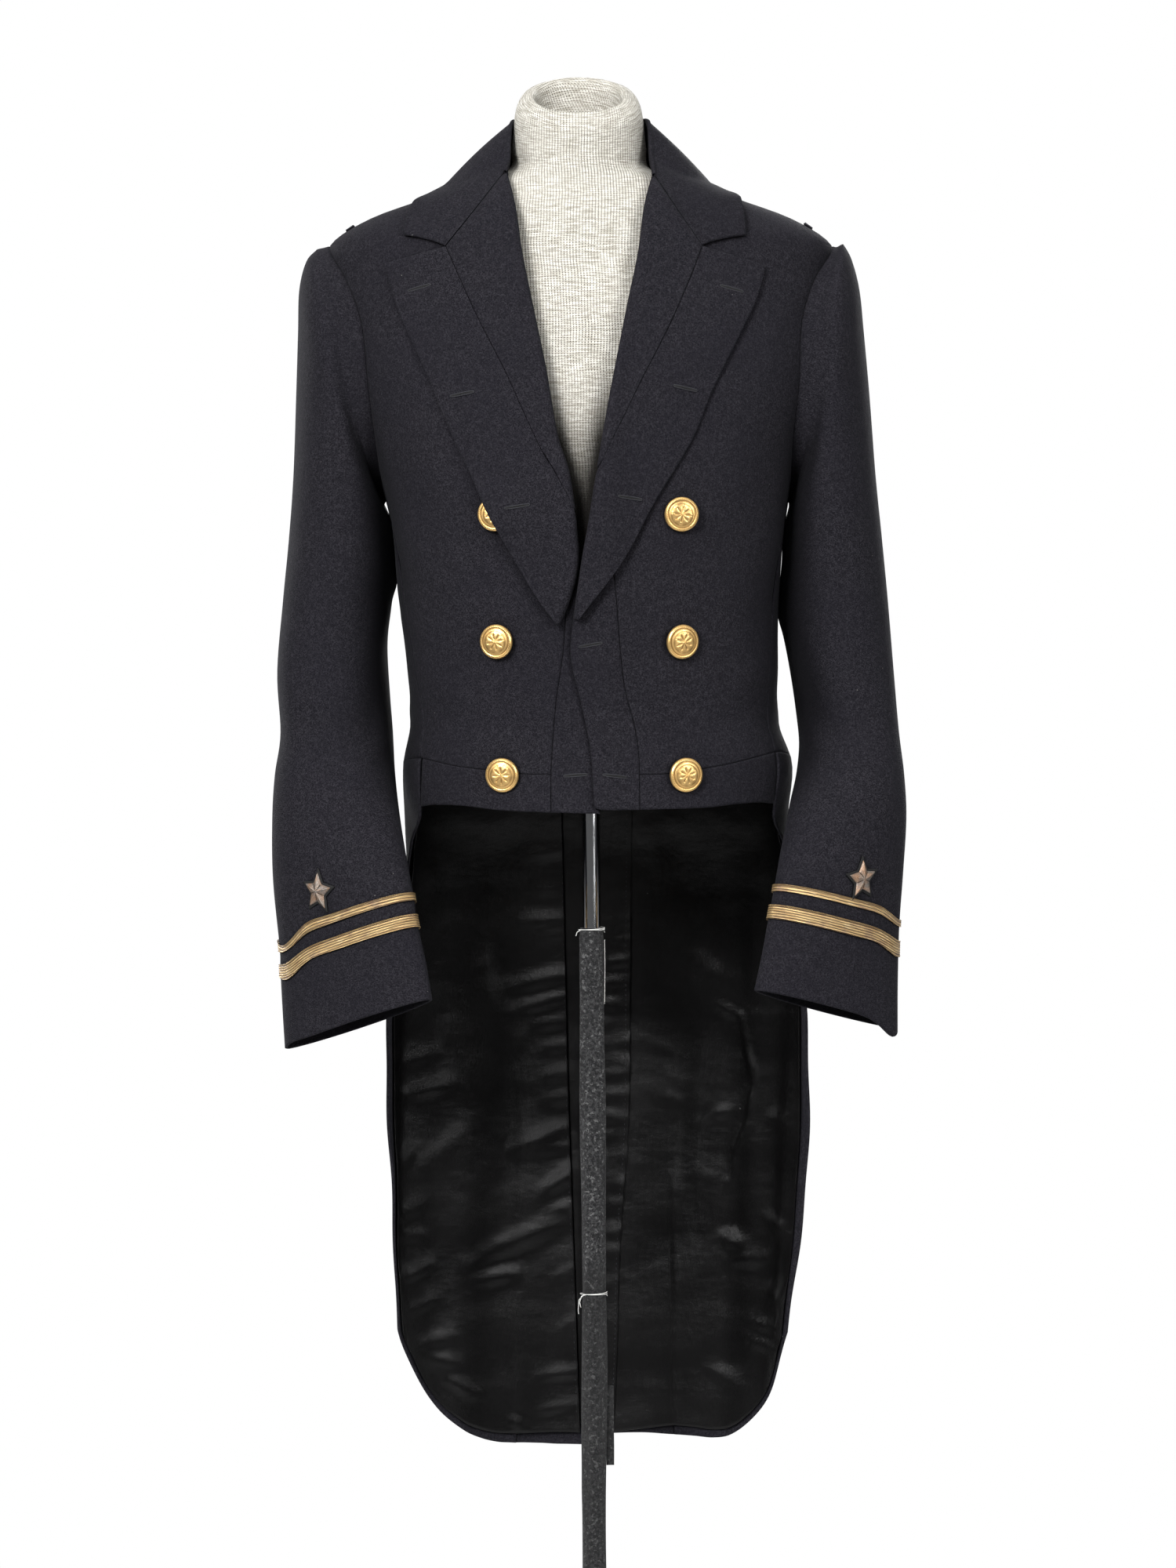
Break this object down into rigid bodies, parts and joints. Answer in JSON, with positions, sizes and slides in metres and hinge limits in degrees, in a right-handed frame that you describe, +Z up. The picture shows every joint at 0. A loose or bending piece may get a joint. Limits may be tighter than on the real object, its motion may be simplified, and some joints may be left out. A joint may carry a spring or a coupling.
{
  "type": "naval dress tailcoat on a limbless dress form with a pole stand",
  "caption": "Dark navy tailcoat with wide peaked lapels, gilt buttons, gold cuff lace and swept-back tails, worn on an ivory form on a pole.",
  "frame": {"origin": "centre of the floor print, under the middle of the whole width and depth", "axes": "+Z up, -Y to the front of the coat, +X to the wearer's left"},
  "size_m": [0.4894, 0.33, 1.4996],
  "materials": {
    "navy_wool": "dark navy wool doeskin",
    "black_satin": "black satin lining",
    "form_jersey": "ivory jersey over a padded form",
    "chrome": "polished chrome",
    "black_cloth": "black cloth wrap",
    "black_steel": "satin black paint",
    "gold_lace": "woven gold lace",
    "bullion": "metal wire embroidery",
    "gilt": "gilt brass"
  },
  "bodies": {
    "root": {"base_plate": "black_steel", "pole_socket": "chrome", "pole": "chrome", "pole_cover": "black_cloth", "cover_flap": "black_cloth", "dress_form": "form_jersey", "front_right": "navy_wool", "front_edge_right": "navy_wool", "waist_strap_right": "navy_wool", "side_body_right": "navy_wool", "back_right": "navy_wool", "tail_right": "navy_wool", "tail_lining_right": "black_satin", "facing_right": "navy_wool", "lapel_right": "navy_wool", "top_sleeve_right": "navy_wool", "under_sleeve_right": "navy_wool", "narrow_lace_right": "gold_lace", "wide_lace_right": "gold_lace", "front_left": "navy_wool", "front_edge_left": "navy_wool", "waist_strap_left": "navy_wool", "side_body_left": "navy_wool", "back_left": "navy_wool", "tail_left": "navy_wool", "tail_lining_left": "black_satin", "facing_left": "navy_wool", "lapel_left": "navy_wool", "top_sleeve_left": "navy_wool", "under_sleeve_left": "navy_wool", "narrow_lace_left": "gold_lace", "wide_lace_left": "gold_lace", "vent_underlap": "navy_wool", "vent_facing": "black_satin", "collar": "navy_wool", "shoulder_loop_right": "navy_wool", "shoulder_loop_left": "navy_wool", "star_right": "bullion", "star_left": "bullion", "button_top_right": "gilt", "button_middle_right": "gilt", "button_low_right": "gilt", "back_button_right": "gilt", "button_top_left": "gilt", "button_middle_left": "gilt", "button_low_left": "gilt", "back_button_left": "gilt"}
  },
  "joints": []
}
